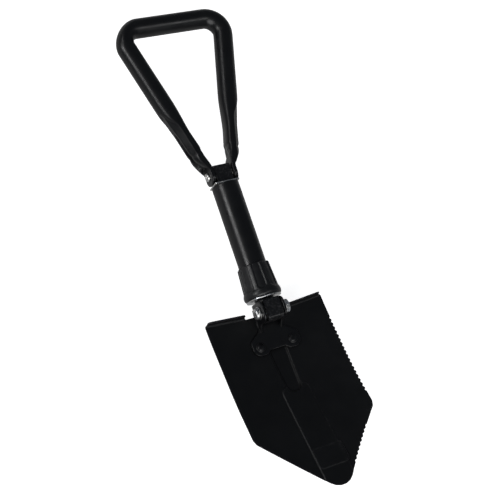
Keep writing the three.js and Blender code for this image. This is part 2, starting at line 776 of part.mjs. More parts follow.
[['left', -1], ['right', 1]].forEach(([side, sign]) => {
  const place = (parent, name, inner, outer, x0, x1, material) => {
    const [a, b] = [sign * x0, sign * x1].sort((p, q) => p - q);
    piece(parent, `${name}_${side}`, discX(inner, outer, a, b), material);
  };
  place(bladePin, 'hinge_spacer', BOLT_R + GAP, 8, 9.8, 10.8, finish.polymer());
  place(bladePin, 'bolt_washer', BOLT_R + GAP, 7.5, 14.4, 15.6, finish.zinc());
  place(handlePin, 'handle_hinge_washer', BOLT_R, 8, 10.1, 10.8, finish.zinc());
});

piece(shovel, 'shaft_tube', shaftTube(), finish.coat());
piece(shovel, 'threaded_sleeve', threadedSleeve(), finish.steel());
piece(shovel, 'top_bearing_plate', bearingPlate(), finish.zinc());
piece(shovel, 'guide_bush_lower', guideBush(80), finish.polymer());
piece(shovel, 'guide_bush_upper', guideBush(120), finish.polymer());

piece(shovel, 'collar_thrust_washer', thrustWasher(), finish.zinc());
piece(shovel, 'collar_retaining_ring', retainingRing(), finish.steel());
piece(shovel, 'locking_collar', lockingCollar(), finish.nylon());

piece(bladePin, 'blade', bladeSheet(), finish.coat());
piece(bladePin, 'blade_bracket', bladeBracket(), finish.coat());
[['left', -1], ['right', 1]].forEach(([side, sign]) => {
  const rivet = onBlade(bracketRivet(), sign * RIVET_X, RIVET_Y);
  piece(bladePin, `bracket_rivet_${side}`, rivet, finish.coat());
});

piece(handlePin, 'd_handle', dHandle(), finish.coat());

// The origin is the middle of the shovel's footprint, on the surface it lies on.
const extent = new THREE.Box3().setFromObject(shovel, true);
const centre = extent.getCenter(new THREE.Vector3());
shovel.position.set(0, -centre.y, -extent.min.z);

const group = new THREE.Group();
group.add(shovel);

export default group;
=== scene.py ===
import json
import math

import bmesh
import bpy
import numpy as np
from mathutils import Matrix, Vector
from mathutils.geometry import delaunay_2d_cdt


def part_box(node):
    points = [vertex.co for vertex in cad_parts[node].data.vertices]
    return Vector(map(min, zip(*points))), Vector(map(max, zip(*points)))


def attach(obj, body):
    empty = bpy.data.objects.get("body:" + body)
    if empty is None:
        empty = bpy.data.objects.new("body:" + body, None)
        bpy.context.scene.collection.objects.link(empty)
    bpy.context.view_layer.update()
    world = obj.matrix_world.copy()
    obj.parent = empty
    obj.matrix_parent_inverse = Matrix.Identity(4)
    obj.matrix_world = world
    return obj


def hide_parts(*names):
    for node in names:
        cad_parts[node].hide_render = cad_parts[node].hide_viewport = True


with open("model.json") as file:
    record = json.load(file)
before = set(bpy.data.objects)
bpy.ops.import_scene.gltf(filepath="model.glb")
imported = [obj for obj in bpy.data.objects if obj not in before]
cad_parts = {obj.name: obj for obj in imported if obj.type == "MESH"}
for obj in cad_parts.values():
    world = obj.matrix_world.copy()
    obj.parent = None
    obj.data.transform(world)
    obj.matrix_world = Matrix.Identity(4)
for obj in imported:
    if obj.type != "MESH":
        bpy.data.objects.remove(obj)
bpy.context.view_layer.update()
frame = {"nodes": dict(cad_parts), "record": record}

# Everything below is laid out in millimetres from the blade's hinge level on the
# shaft axis: x across the blade, y up the shaft, z out of the blade's hollow side.

MM = 0.001
JOINTS = {joint["name"]: joint for joint in frame["record"]["behaviour"]["joints"]}
BLADE_PIN = Vector(JOINTS["blade_fold"]["pos_m"])
HANDLE_PIN = Vector(JOINTS["handle_fold"]["pos_m"])
DATUM = Vector((0, BLADE_PIN.y, HANDLE_PIN.z))
PIN_Z = (BLADE_PIN.z - DATUM.z) / MM
HANDLE_PIN_Y = (HANDLE_PIN.y - DATUM.y) / MM


def cad_box(node):
    """A node's lowest and highest corners in the layout's millimetres."""
    low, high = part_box(node)
    return (low - DATUM) / MM, (high - DATUM) / MM


def smooth(value, low, high):
    """A smooth step from 0 at low to 1 at high."""
    t = np.clip((value - low) / (high - low), 0, 1)
    return t * t * (3 - 2 * t)


# ---- mesh helpers -----------------------------------------------------------------


SHARP = 40  # faces that meet at less than this angle, in degrees, shade as one surface
CAD_SHARP = 32
SHEET_SHARP = 50
STRAIGHT = math.radians(89.5)  # half angle from which a corner needs no arc
ON_AXIS = 1e-6
WELD = 1e-7  # in metres, as the next one
CAD_WELD = 2e-6
CAD_FLAT = math.radians(0.8)
CAD_EDGE = math.radians(28)
BEVEL_SEGMENTS = 3
TINY = 1e-12


def make_object(name, points, faces, material, sharp=SHARP):
    """A smooth-shaded mesh object from points in millimetres."""
    mesh = bpy.data.meshes.new(name)
    place = np.asarray(points, float) * MM + np.array(DATUM)
    mesh.from_pydata(place.tolist(), [], [list(map(int, face)) for face in faces])
    mesh.validate()
    bm = bmesh.new()
    bm.from_mesh(mesh)
    bmesh.ops.recalc_face_normals(bm, faces=bm.faces)
    bm.to_mesh(mesh)
    bm.free()
    mesh.shade_smooth()
    mesh.set_sharp_from_angle(angle=math.radians(sharp))
    mesh.materials.append(material)
    piece = bpy.data.objects.new(name, mesh)
    bpy.context.scene.collection.objects.link(piece)
    return piece


def finish_piece(piece, body, slot, *nodes):
    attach(piece, body)
    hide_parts(*nodes)
    return piece


def filleted(corners, steps=4):
    """A closed outline through corners (a, b, radius), with arcs at the corners."""
    outline = []
    count = len(corners)
    for i, (a, b, radius) in enumerate(corners):
        corner = np.array([a, b], float)
        if radius == 0:
            outline.append(corner)
            continue
        before = np.array(corners[i - 1][:2], float) - corner
        after = np.array(corners[(i + 1) % count][:2], float) - corner
        before /= np.linalg.norm(before)
        after /= np.linalg.norm(after)
        half = math.acos(np.clip(before @ after, -1, 1)) / 2
        if half > STRAIGHT:
            outline.append(corner)
            continue
        start = corner + before * radius / math.tan(half)
        end = corner + after * radius / math.tan(half)
        middle = (before + after) / np.linalg.norm(before + after)
        centre = corner + middle * radius / math.sin(half)
        a0 = math.atan2(*(start - centre)[::-1])
        sweep = math.atan2(*(end - centre)[::-1]) - a0
        sweep = (sweep + math.pi) % (2 * math.pi) - math.pi
        for k in range(steps + 1):
            angle = a0 + sweep * k / steps
            outline.append(centre + radius * np.array([math.cos(angle), math.sin(angle)]))
    return np.array(outline)


def lathe(name, profile, axis, centre, material, around, shape=None):
    """A closed (radius, height) profile turned about a line along an axis through a centre.
    The optional shape moves its points by their radius, height and angle."""
    profile = np.asarray(profile, float)
    rings = len(profile)
    angles = np.linspace(0, 2 * math.pi, around, endpoint=False)
    radius = np.repeat(profile[:, :1], around, 1)
    height = np.repeat(profile[:, 1:], around, 1)
    angle = np.repeat(angles[None, :], rings, 0)
    if shape is not None:
        radius, height = shape(radius, height, angle)
    a, b = radius * np.cos(angle), radius * np.sin(angle)
    layers = {"x": (height, a, b), "y": (b, height, a), "z": (a, b, height)}[axis]
    points = np.stack(layers, -1).reshape(-1, 3) + np.array(centre)
    faces = []
    for i in range(rings):
        j = (i + 1) % rings
        if profile[i, 0] < ON_AXIS and profile[j, 0] < ON_AXIS:
            continue
        for k in range(around):
            n = (k + 1) % around
            faces.append((i * around + k, i * around + n, j * around + n, j * around + k))
    piece = make_object(name, points, faces, material)
    bm = bmesh.new()
    bm.from_mesh(piece.data)
    bmesh.ops.remove_doubles(bm, verts=bm.verts, dist=WELD)
    bmesh.ops.recalc_face_normals(bm, faces=bm.faces)
    bm.to_mesh(piece.data)
    bm.free()
    return piece


def bevelled(node, width, material):
    """A copy of a CAD node's solid with its edges rounded."""
    bm = bmesh.new()
    bm.from_mesh(frame["nodes"][node].data)
    bmesh.ops.remove_doubles(bm, verts=bm.verts, dist=CAD_WELD)
    bmesh.ops.dissolve_limit(bm, angle_limit=CAD_FLAT, verts=bm.verts, edges=bm.edges)
    edges = [e for e in bm.edges if len(e.link_faces) == 2 and e.calc_face_angle(0) > CAD_EDGE]
    bmesh.ops.bevel(
        bm, geom=edges, offset=width * MM, segments=BEVEL_SEGMENTS, profile=0.5,
        affect="EDGES", clamp_overlap=True,
    )
    mesh = bpy.data.meshes.new(node + "_finish")
    bm.to_mesh(mesh)
    bm.free()
    mesh.shade_smooth()
    mesh.set_sharp_from_angle(angle=math.radians(SHARP))
    mesh.materials.append(material)
    piece = bpy.data.objects.new(mesh.name, mesh)
    bpy.context.scene.collection.objects.link(piece)
    normals = piece.modifiers.new("normals", "WEIGHTED_NORMAL")
    normals.keep_sharp = True
    return piece


# ---- materials ------------------------------------------------------------------------


def node_material(name):
    """A new material, its node tree and shader, and the object coordinates."""
    material = bpy.data.materials.new(name)
    material.use_nodes = True
    tree = material.node_tree
    shader = tree.nodes["Principled BSDF"]
    place = tree.nodes.new("ShaderNodeTexCoord").outputs["Object"]
    return material, tree, shader, place


def noise(tree, place, scale, detail=3, roughness=0.5, stretch=None):
    """A noise value, optionally with its coordinates stretched."""
    if stretch is not None:
        mapping = tree.nodes.new("ShaderNodeMapping")
        mapping.inputs["Scale"].default_value = stretch
        tree.links.new(place, mapping.inputs["Vector"])
        place = mapping.outputs["Vector"]
    node = tree.nodes.new("ShaderNodeTexNoise")
    node.inputs["Scale"].default_value = scale
    node.inputs["Detail"].default_value = detail
    node.inputs["Roughness"].default_value = roughness
    tree.links.new(place, node.inputs["Vector"])
    return node.outputs["Fac"]


def ramp(tree, value, low, high, start=0.3, end=0.7):
    """Maps a noise value onto a range."""
    node = tree.nodes.new("ShaderNodeMapRange")
    node.inputs["From Min"].default_value = start
    node.inputs["From Max"].default_value = end
    node.inputs["To Min"].default_value = low
    node.inputs["To Max"].default_value = high
    tree.links.new(value, node.inputs["Value"])
    return node.outputs["Result"]


def blended(tree, factor, first, second):
    """A mix of two colours, each an RGB tuple or a socket."""
    node = tree.nodes.new("ShaderNodeMix")
    node.data_type = "RGBA"
    colours = [socket for socket in node.inputs if socket.type == "RGBA"]
    for socket, value in zip(colours, (first, second)):
        if isinstance(value, tuple):
            socket.default_value = (*value, 1)
        else:
            tree.links.new(value, socket)
    tree.links.new(factor, node.inputs["Factor"])
    return [socket for socket in node.outputs if socket.type == "RGBA"][0]


def bumped(tree, shader, *layers):
    """Bump layers of (height, strength, distance in millimetres), one over another."""
    previous = None
    for height, strength, distance in layers:
        node = tree.nodes.new("ShaderNodeBump")
        node.inputs["Strength"].default_value = strength
        node.inputs["Distance"].default_value = distance * MM
        tree.links.new(height, node.inputs["Height"])
        if previous is not None:
            tree.links.new(previous, node.inputs["Normal"])
        previous = node.outputs["Normal"]
    tree.links.new(previous, shader.inputs["Normal"])


def attribute(tree, name):
    """A value stored on the mesh."""
    node = tree.nodes.new("ShaderNodeAttribute")
    node.attribute_name = name
    return node.outputs["Fac"]


COAT_BLACK = (0.0022, 0.0023, 0.0028)
COAT_DUSTY = (0.0042, 0.0044, 0.0050)
# lighter coat for worn edges, and for the painted highlight lines along the blade's pressed edges
COAT_RUBBED_AND_HIGHLIT = (0.03, 0.03, 0.032)
NYLON_DARK = (0.0028, 0.0029, 0.0034)
NYLON_LIGHT = (0.0055, 0.0056, 0.0064)


def powder_coat(name, roughness=0.3, specular=0.42):
    """Semi-gloss black powder coat with a fine orange peel."""
    material, tree, shader, place = node_material(name)
    cloud = noise(tree, place, 38, 4)
    dusty = ramp(tree, cloud, 0.0, 0.6, 0.42, 0.75)
    colour = blended(tree, dusty, COAT_BLACK, COAT_DUSTY)
    scuffs = ramp(tree, noise(tree, place, 420, 5, 0.7), 0.0, 1.0, 0.5, 0.66)
    # lighter where the mesh value is high: worn edges and the digging edge, and painted highlight
    # lines along the blade's pressed edges, broken up by scuffs
    rubbed_and_highlit = tree.nodes.new("ShaderNodeMath")
    rubbed_and_highlit.operation = "MULTIPLY"
    tree.links.new(attribute(tree, "wear_and_highlight"), rubbed_and_highlit.inputs[0])
    tree.links.new(scuffs, rubbed_and_highlit.inputs[1])
    colour = blended(tree, rubbed_and_highlit.outputs["Value"], colour, COAT_RUBBED_AND_HIGHLIT)
    tree.links.new(colour, shader.inputs["Base Color"])
    smear = noise(tree, place, 60, 5, 0.6)
    gloss = ramp(tree, smear, roughness - 0.04, roughness + 0.07)
    tree.links.new(gloss, shader.inputs["Roughness"])
    shader.inputs["Specular IOR Level"].default_value = specular
    peel = noise(tree, place, 900, 2)
    grain = noise(tree, place, 3200, 2)
    bumped(tree, shader, (peel, 0.22, 0.05), (grain, 0.12, 0.012))
    return material


def nylon():
    """Satin moulded nylon with a fine spark-eroded grain."""
    material, tree, shader, place = node_material("black_nylon_finish")
    cloud = noise(tree, place, 90, 4)
    colour = blended(tree, ramp(tree, cloud, 0, 0.7), NYLON_DARK, NYLON_LIGHT)
    tree.links.new(colour, shader.inputs["Base Color"])
    tree.links.new(ramp(tree, noise(tree, place, 240, 3), 0.3, 0.42), shader.inputs["Roughness"])
    shader.inputs["Specular IOR Level"].default_value = 0.5
    grain = noise(tree, place, 2600, 3)
    flow = noise(tree, place, 300, 2, 0.5, (1, 0.25, 1))
    bumped(tree, shader, (flow, 0.1, 0.05), (grain, 0.25, 0.015))
    return material


def zinc():
    """Bright zinc plate with a faint yellow and blue passivation."""
    material, tree, shader, place = node_material("zinc_finish")
    tint = ramp(tree, noise(tree, place, 160, 3), 0.0, 1.0)
    colour = blended(tree, tint, (0.62, 0.64, 0.68), (0.72, 0.7, 0.64))
    tree.links.new(colour, shader.inputs["Base Color"])
    shader.inputs["Metallic"].default_value = 1
    tree.links.new(ramp(tree, noise(tree, place, 500, 4), 0.2, 0.4), shader.inputs["Roughness"])
    bumped(tree, shader, (noise(tree, place, 1800, 3), 0.15, 0.01))
    return material


def steel():
    """Plain oiled steel with turning marks and darker patches."""
    material, tree, shader, place = node_material("steel_finish")
    patches = ramp(tree, noise(tree, place, 120, 5, 0.65), 0.0, 1.0)
    colour = blended(tree, patches, (0.3, 0.295, 0.29), (0.46, 0.455, 0.45))
    tree.links.new(colour, shader.inputs["Base Color"])
    shader.inputs["Metallic"].default_value = 1
    tree.links.new(ramp(tree, noise(tree, place, 400, 4), 0.28, 0.5), shader.inputs["Roughness"])
    marks = noise(tree, place, 900, 2, 0.5, (0.15, 3, 0.15))
    bumped(tree, shader, (marks, 0.2, 0.02))
    return material


def acetal():
    """Plain white acetal, slightly waxy."""
    material, tree, shader, place = node_material("acetal_finish")
    cloud = ramp(tree, noise(tree, place, 140, 3), 0.0, 1.0)
    colour = blended(tree, cloud, (0.66, 0.65, 0.6), (0.74, 0.73, 0.69))
    tree.links.new(colour, shader.inputs["Base Color"])
    tree.links.new(ramp(tree, noise(tree, place, 350, 3), 0.38, 0.52), shader.inputs["Roughness"])
    shader.inputs["Subsurface Weight"].default_value = 0.08
    bumped(tree, shader, (noise(tree, place, 1500, 2), 0.15, 0.02))
    return material


COAT = powder_coat("black_coat_finish")
BLADE_COAT = powder_coat("blade_coat_finish", 0.42, 0.32)
NYLON = nylon()
ZINC = zinc()
STEEL = steel()
ACETAL = acetal()
FINISHES = {
    "black_coat": COAT,
    "black_nylon": NYLON,
    "zinc_plate": ZINC,
    "bare_steel": STEEL,
    "white_polymer": ACETAL,
}


def dress_cad_nodes():
    """Every CAD node gets the finish of its slot."""
    slots = {row["node"]: row["material_slot"] for row in frame["record"]["subparts"]}
    for node, piece in frame["nodes"].items():
        piece.data.materials.clear()
        piece.data.materials.append(FINISHES[slots[node]])
        piece.data.shade_smooth()
        piece.data.set_sharp_from_angle(angle=math.radians(CAD_SHARP))


dress_cad_nodes()

# ---- blade -------------------------------------------------------------------------------

SHEET = 2.0
BLADE_DEPTH = 20.5  # from the hinge pin back to the sheet's middle
HALF_WIDTH = 72.4  # of the blade
CURVE = 0.0017  # the sheet rises by this times the distance squared, up to CURVE_END
CURVE_END = 110.0
DISH = 8.0  # how far the sides stand forward
SHOULDER_Y = -130.3
TIP_Y = -207.0  # where the lower edges would meet
TIP_R = 18.0
TREAD_X = (25.0, 69.5)
TREAD_TOP = 4.3
TREAD_SLOPE = 0.068
TREAD_HEIGHT = 10.0
ROLL_R = 4.0  # on the sheet's middle
RIVET = (20.0, -35.2)
TEETH, TOOTH_PITCH, TOOTH_DEPTH, LOWEST_TOOTH = 19, 4.95, 1.4, -116
SCALLOPS, SCALLOP_PITCH, SCALLOP_LENGTH, SCALLOP_DEPTH = 9, 5.2, 4.0, 1.2
FIRST_SCALLOP = 26  # from the shoulder along the lower edge
TONGUE_DEPTH = 2.4
PAD_HEIGHT = 1.5
PANEL_HALF = 16.5
PANEL_TOP = -84.9
PAD_RIGHT = 19.5
PAD_FOOT, PAD_TOP = -177.6, -156
CLOSEST = 0.05
RIM_STEP = 1.4
MARK_STEP = 1.2
MARK_ROWS = (-1.3, -0.8, -0.35, 0.0, 0.35, 0.8, 1.3)  # extra rows of points beside a mark
RIM_CLEARANCE = 0.35


def blade_rise(x, y):
    """How far the sheet's middle stands in front of its level at the hinge."""
    below = np.maximum(-y, 0)
    curved = np.minimum(below, CURVE_END)
    straight = 2 * CURVE * CURVE_END * (below - curved)
    dish = DISH * (x / HALF_WIDTH) ** 2 * smooth(-y, -30, 60)
    return CURVE * curved**2 + straight + dish


def sheet_level(x, y):
    """The z of the sheet's middle, without its pressed relief."""
    return blade_rise(x, y) + PIN_Z - BLADE_DEPTH


def distance_to(outline, x, y):
    """Signed distance to a closed outline, negative inside."""
    points = np.stack([x, y], -1).reshape(-1, 1, 2)
    start = outline[None]
    run = np.roll(outline, -1, 0)[None] - start
    gap = points - start
    t = np.clip((gap * run).sum(-1) / np.maximum((run**2).sum(-1), TINY), 0, 1)
    reach = np.sqrt(((gap - t[..., None] * run) ** 2).sum(-1)).min(1)
    crosses = (start[..., 1] <= points[..., 1]) != ((start + run)[..., 1] <= points[..., 1])
    dy = np.where(np.abs(run[..., 1]) < TINY, TINY, run[..., 1])
    at = start[..., 0] + run[..., 0] * (points[..., 1] - start[..., 1]) / dy
    inside = (crosses & (points[..., 0] < at)).sum(1) % 2 == 1
    return np.where(inside, -reach, reach).reshape(np.shape(x))


TONGUE = filleted([
    (-10.1, -5, 2), (-10.1, -52, 20), (-7.6, -92, 6.5),
    (7.6, -92, 6.5), (10.1, -52, 20), (10.1, -5, 2),
])
PANEL = filleted([
    (-PANEL_HALF, TIP_Y - 20, 0), (PANEL_HALF, TIP_Y - 20, 0),
    (PANEL_HALF, PANEL_TOP, 7.5), (-PANEL_HALF, PANEL_TOP, 7.5),
])
PAD = filleted([
    (-PANEL_HALF, PAD_FOOT, 4), (PAD_RIGHT, PAD_FOOT, 4),
    (PAD_RIGHT, PAD_TOP, 3), (-PANEL_HALF, PAD_TOP, 3),
])


def relief(x, y):
    """The tongue pressed in, the middle panel pressed out by 1 mm and the step pad, along z."""
    tongue = smooth(-distance_to(TONGUE, x, y), -0.9, 0.9)
    soft = 0.7 + 0.9 * smooth(x, 0, 12)  # the panel's right edge is softer
    panel = smooth(-distance_to(PANEL, x, y) / soft, -1, 1)
    pad = smooth(-distance_to(PAD, x, y), -0.5, 0.5)
    raised = panel * (1 - pad) + PAD_HEIGHT * pad
    return raised * (1 - tongue) - TONGUE_DEPTH * tongue


def tread_top(x):
    """The upper edge of a rolled tread."""
    return TREAD_TOP + TREAD_SLOPE * (x - TREAD_X[0])


def roll_line(x):
    """Where the sheet starts to roll into a tread."""
    return tread_top(x) - SHEET / 2 - ROLL_R


def blade_flat_outline():
    """The blank of the blade, with the treads unrolled upwards."""
    w = HALF_WIDTH
    wall = TREAD_HEIGHT - SHEET / 2 - ROLL_R
    unrolled = ROLL_R * math.pi / 2 + wall
    inner, outer = TREAD_X
    corner = tread_top(w) - SHEET
    neck = [(inner - 1, 0.0, 0.6), (inner, 2.3, 0.5)]
    top = [
        (inner, roll_line(inner) + unrolled, 4.0),
        (outer, roll_line(outer) + unrolled, 4.0),
        (outer, corner, 0.8),
        (w, corner, 3.0),
    ]
    right = [(w, -21.5, 0)]
    for k in reversed(range(TEETH)):
        y = LOWEST_TOOTH + k * TOOTH_PITCH
        right += [
            (w, y + TOOTH_PITCH * 0.7, 0.25),
            (w - TOOTH_DEPTH, y + TOOTH_PITCH * 0.35, 0.4),
            (w, y, 0.25),
        ]
    right += [(w, SHOULDER_Y + 2.6, 1.5), (w - 1.8, SHOULDER_Y - 2.6, 1.5)]
    shoulder = np.array([w, SHOULDER_Y])
    along = np.array([0.0, TIP_Y]) - shoulder
    along /= np.linalg.norm(along)
    inward = np.array([-1.0, 1.0]) / math.sqrt(2)
    for k in range(SCALLOPS):
        base = shoulder + along * (FIRST_SCALLOP + SCALLOP_PITCH * k)
        far = base + along * SCALLOP_LENGTH
        middle = (base + far) / 2 + inward * SCALLOP_DEPTH
        right += [(*base, 0.3), (*middle, 1.2), (*far, 0.3)]
    tip = [(0.0, TIP_Y, TIP_R)]
    left = [(-w + 1.8, SHOULDER_Y - 2.6, 1.5), (-w, SHOULDER_Y + 2.6, 1.5)]
    mirrored = [(-x, y, r) for x, y, r in reversed(neck + top)]
    return filleted(top + right + tip + left + mirrored + neck, 5)


def even(outline, step):
    """The outline with points no further apart than a step."""
    points = []
    for start, end in zip(outline, np.roll(outline, -1, 0)):
        count = max(1, math.ceil(np.linalg.norm(end - start) / step))
        points += [start + (end - start) * k / count for k in range(count)]
    keep = [points[0]]
    for point in points[1:]:
        if np.linalg.norm(point - keep[-1]) > CLOSEST:
            keep.append(point)
    return np.array(keep)


def inset(outline, amount):
    """The outline moved inwards along its corner normals."""
    before = outline - np.roll(outline, 1, 0)
    after = np.roll(outline, -1, 0) - outline
    normal = np.stack([before[:, 1], -before[:, 0]], -1) / np.linalg.norm(before, axis=1)[:, None]
    normal += np.stack([after[:, 1], -after[:, 0]], -1) / np.linalg.norm(after, axis=1)[:, None]
    normal /= np.linalg.norm(normal, axis=1)[:, None]
    x, y = outline.T
    area = (x * np.roll(y, -1) - np.roll(x, -1) * y).sum()
    return outline - normal * amount * np.sign(area)


def filled(outline, marks, step):
    """Points and triangles of the area inside an outline, finer near the marked outlines."""
    low, high = outline.min(0), outline.max(0)
    xs = np.arange(low[0], high[0], step)
    ys = np.arange(low[1], high[1], step)
    grid = np.stack(np.meshgrid(xs, ys), -1).reshape(-1, 2)
    grid[:, 0] += np.where(np.round((grid[:, 1] - low[1]) / step) % 2 == 0, 0.25, -0.25) * step
    extra = [grid]
    for mark in marks:
        loop = even(mark, MARK_STEP)
        extra += [inset(loop, amount) for amount in MARK_ROWS]
    points = np.concatenate(extra)
    clear = distance_to(outline, points[:, 0], points[:, 1]) < -RIM_CLEARANCE
    points = points[clear]
    every = np.concatenate([outline, points])
    count = len(outline)
    edges = [(i, (i + 1) % count) for i in range(count)]
    verts, _, faces, *_ = delaunay_2d_cdt([Vector(p) for p in every], edges, [], 1, 1e-5)
    return np.array([tuple(v) for v in verts]), faces


def sheet_solid(outline, marks, step, place, half, edge_r=0.45):
    """A sheet of even thickness with rounded edges. place(x, y, t) puts a point t above its
    middle."""
    rim = even(outline, RIM_STEP)
    inner = inset(rim, edge_r)
    flat, faces = filled(inner, marks, step)
    count = len(rim)
    assert np.allclose(flat[:count], inner, atol=1e-3)
    size = len(flat)
    front = place(flat[:, 0], flat[:, 1], np.full(size, half))
    back = place(flat[:, 0], flat[:, 1], np.full(size, -half))
    points = [front, back]
    triangles = [tuple(face) for face in faces]
    triangles += [tuple(i + size for i in reversed(face)) for face in faces]
    turns = [k * math.pi / 8 for k in range(1, 4)]
    levels = [(edge_r * (1 - math.sin(a)), half - edge_r * (1 - math.cos(a))) for a in turns]
    levels += [(0.0, half - edge_r), (0.0, edge_r - half)]
    levels += [(amount, -level) for amount, level in reversed(levels[:3])]
    rings = [list(range(count))]
    start = 2 * size
    for amount, level in levels:
        loop = inset(rim, amount)
        points.append(place(loop[:, 0], loop[:, 1], np.full(count, level)))
        rings.append(list(range(start, start + count)))
        start += count
    rings.append([size + i for i in range(count)])
    for above, below in zip(rings, rings[1:]):
        for i in range(count):
            j = (i + 1) % count
            triangles.append((above[i], above[j], below[j], below[i]))
    return np.concatenate(points), triangles


def on_blade(x, y, t):
    """A point of the rolled and pressed blade sheet."""
    edge = roll_line(np.abs(x))
    rolled = (np.abs(x) > TREAD_X[0] - 0.6) & (y > edge)
    base_y = np.where(rolled, edge, y)
    level = sheet_level(x, base_y)
    arc = np.clip((y - edge) / ROLL_R, 0, math.pi / 2)
    wall = np.maximum(y - edge - ROLL_R * math.pi / 2, 0)
    rolled_y = edge + (ROLL_R - t) * np.sin(arc)
    rolled_z = level + ROLL_R - (ROLL_R - t) * np.cos(arc) + wall
    flat_z = level + relief(x, y) + t
    return np.stack([x, np.where(rolled, rolled_y, y), np.where(rolled, rolled_z, flat_z)], -1)


def edge_wear_and_highlight(piece, extra=None):
    """A vertex value that is high on tightly rounded outer edges, where the coat is worn; extra
    lays more over it, such as painted highlight lines.
    """
    mesh = piece.data
    count = len(mesh.vertices)
    place = np.empty(count * 3)
    normal = np.empty(count * 3)
    mesh.vertices.foreach_get("co", place)
    mesh.vertices.foreach_get("normal", normal)
    place, normal = place.reshape(-1, 3) / MM, normal.reshape(-1, 3)
    pairs = np.empty(len(mesh.edges) * 2, int)
    mesh.edges.foreach_get("vertices", pairs)
    a, b = pairs.reshape(-1, 2).T
    run = place[a] - place[b]
    length = np.maximum((run**2).sum(-1), 1e-6)
    bend = np.zeros(count)
    np.maximum.at(bend, a, (normal[a] * run).sum(-1) / length)
    np.maximum.at(bend, b, (normal[b] * -run).sum(-1) / length)
    wear_and_highlight = smooth(bend, 0.25, 1.2)
    # extra marks, such as painted highlight lines, are laid over the worn edges
    if extra is not None:
        wear_and_highlight = np.maximum(wear_and_highlight, extra(place - np.array(DATUM) / MM))
    layer = mesh.attributes.new("wear_and_highlight", "FLOAT", "POINT")
    layer.data.foreach_set("value", wear_and_highlight.astype(np.float32))


def make_blade():
    outline = blade_flat_outline()
    inner, outer = TREAD_X
    rolled_rows = filleted([(inner, -1, 0), (outer, 2, 0), (outer, 10, 0), (inner, 7, 0)])
    mirrored_rows = rolled_rows * np.array([-1, 1])
    panel = PANEL.copy()
    panel[:, 1] = np.maximum(panel[:, 1], TIP_Y - 2)
    marks = [TONGUE, panel, PAD, rolled_rows, mirrored_rows]
    points, faces = sheet_solid(outline, marks, 2.0, on_blade, SHEET / 2)
    blade = make_object("blade_sheet", points, faces, BLADE_COAT, SHEET_SHARP)

    def rubbed_and_highlit_places(place):
        """Worn places on the digging edge, and painted highlight lines along the edges of the
        panel, the step pad and the tongue.
        """
        x, y, z = place.T
        wear_and_highlight = np.exp(-np.maximum(-distance_to(outline, x, y), 0) / 0.9) * smooth(-y, -5, 60)
        front = z > sheet_level(x, y) + 0.4
        # painted highlight lines just inside the pressed edges, on the front face only
        for line, share in ((panel, 0.8), (PAD, 0.9), (TONGUE, 0.5)):
            near = np.exp(-np.abs(distance_to(line, x, y) + 0.5) / 0.6)
            wear_and_highlight = np.maximum(wear_and_highlight, share * near * front * smooth(-y, 40, 60))
        return wear_and_highlight

    edge_wear_and_highlight(blade, rubbed_and_highlit_places)
    return finish_piece(blade, "blade", "black_coat", "blade")


make_blade()

# ---- blade bracket and its rivets -----------------------------------------------------

BRACKET_FOOT = SHEET / 2 + 0.3  # from the blade sheet's middle
BRACKET_SHEET = 2.5
EAR_X = (11.1, 14.1)
EAR_FLAT = 12.2


def joined_with(first, *others):
    """Several pieces of one part as one object."""
    bm = bmesh.new()
    for piece in (first, *others):
        bm.from_mesh(piece.data)
    bm.to_mesh(first.data)
    bm.free()
    first.data.shade_smooth()
    first.data.set_sharp_from_angle(angle=math.radians(SHEET_SHARP))
    for piece in others:
        bpy.data.objects.remove(piece)
    return first


def make_bracket():
    x, y = RIVET
    lobe = 9.0
    half = [
        (EAR_X[1], 7.6, 1.2),
        (EAR_X[1], -17, 6),
        (x + lobe, y + 8, 6),
        (x + lobe, y - lobe, lobe - 0.5),
        (x - 6, y - lobe, 6),
        (x - 10, y - 5.2, 3),
    ]
    outline = filleted([(-a, b, r) for a, b, r in half] + half[::-1], 8)

    def on_sheet(a, b, t):
        level = sheet_level(a, b) + BRACKET_FOOT + BRACKET_SHEET / 2
        return np.stack([a, b, level + t], -1)

    web = sheet_solid(outline, [], 3.0, on_sheet, BRACKET_SHEET / 2, 0.6)
    web = make_object("bracket", *web, COAT, SHEET_SHARP)
    side = filleted([
        (EAR_FLAT, -16, 1), (EAR_FLAT, EAR_FLAT, 7.4), (-11.4, EAR_FLAT, 7.4),
        (-11.4, -5, 6), (-20, -17.2, 1),
    ], 8)
    thick = (EAR_X[1] - EAR_X[0]) / 2
    ears = []
    for sign in (-1, 1):
        def stood_up(a, b, t):
            return np.stack([sign * (EAR_X[0] + thick) + t, a, b + PIN_Z], -1)

        ear = sheet_solid(side, [], 3.0, stood_up, thick, 1.3)
        ears.append(make_object("ear", *ear, COAT, SHEET_SHARP))
    bracket = joined_with(web, *ears)
    edge_wear_and_highlight(bracket)
    return finish_piece(bracket, "blade", "black_coat", "blade_bracket")


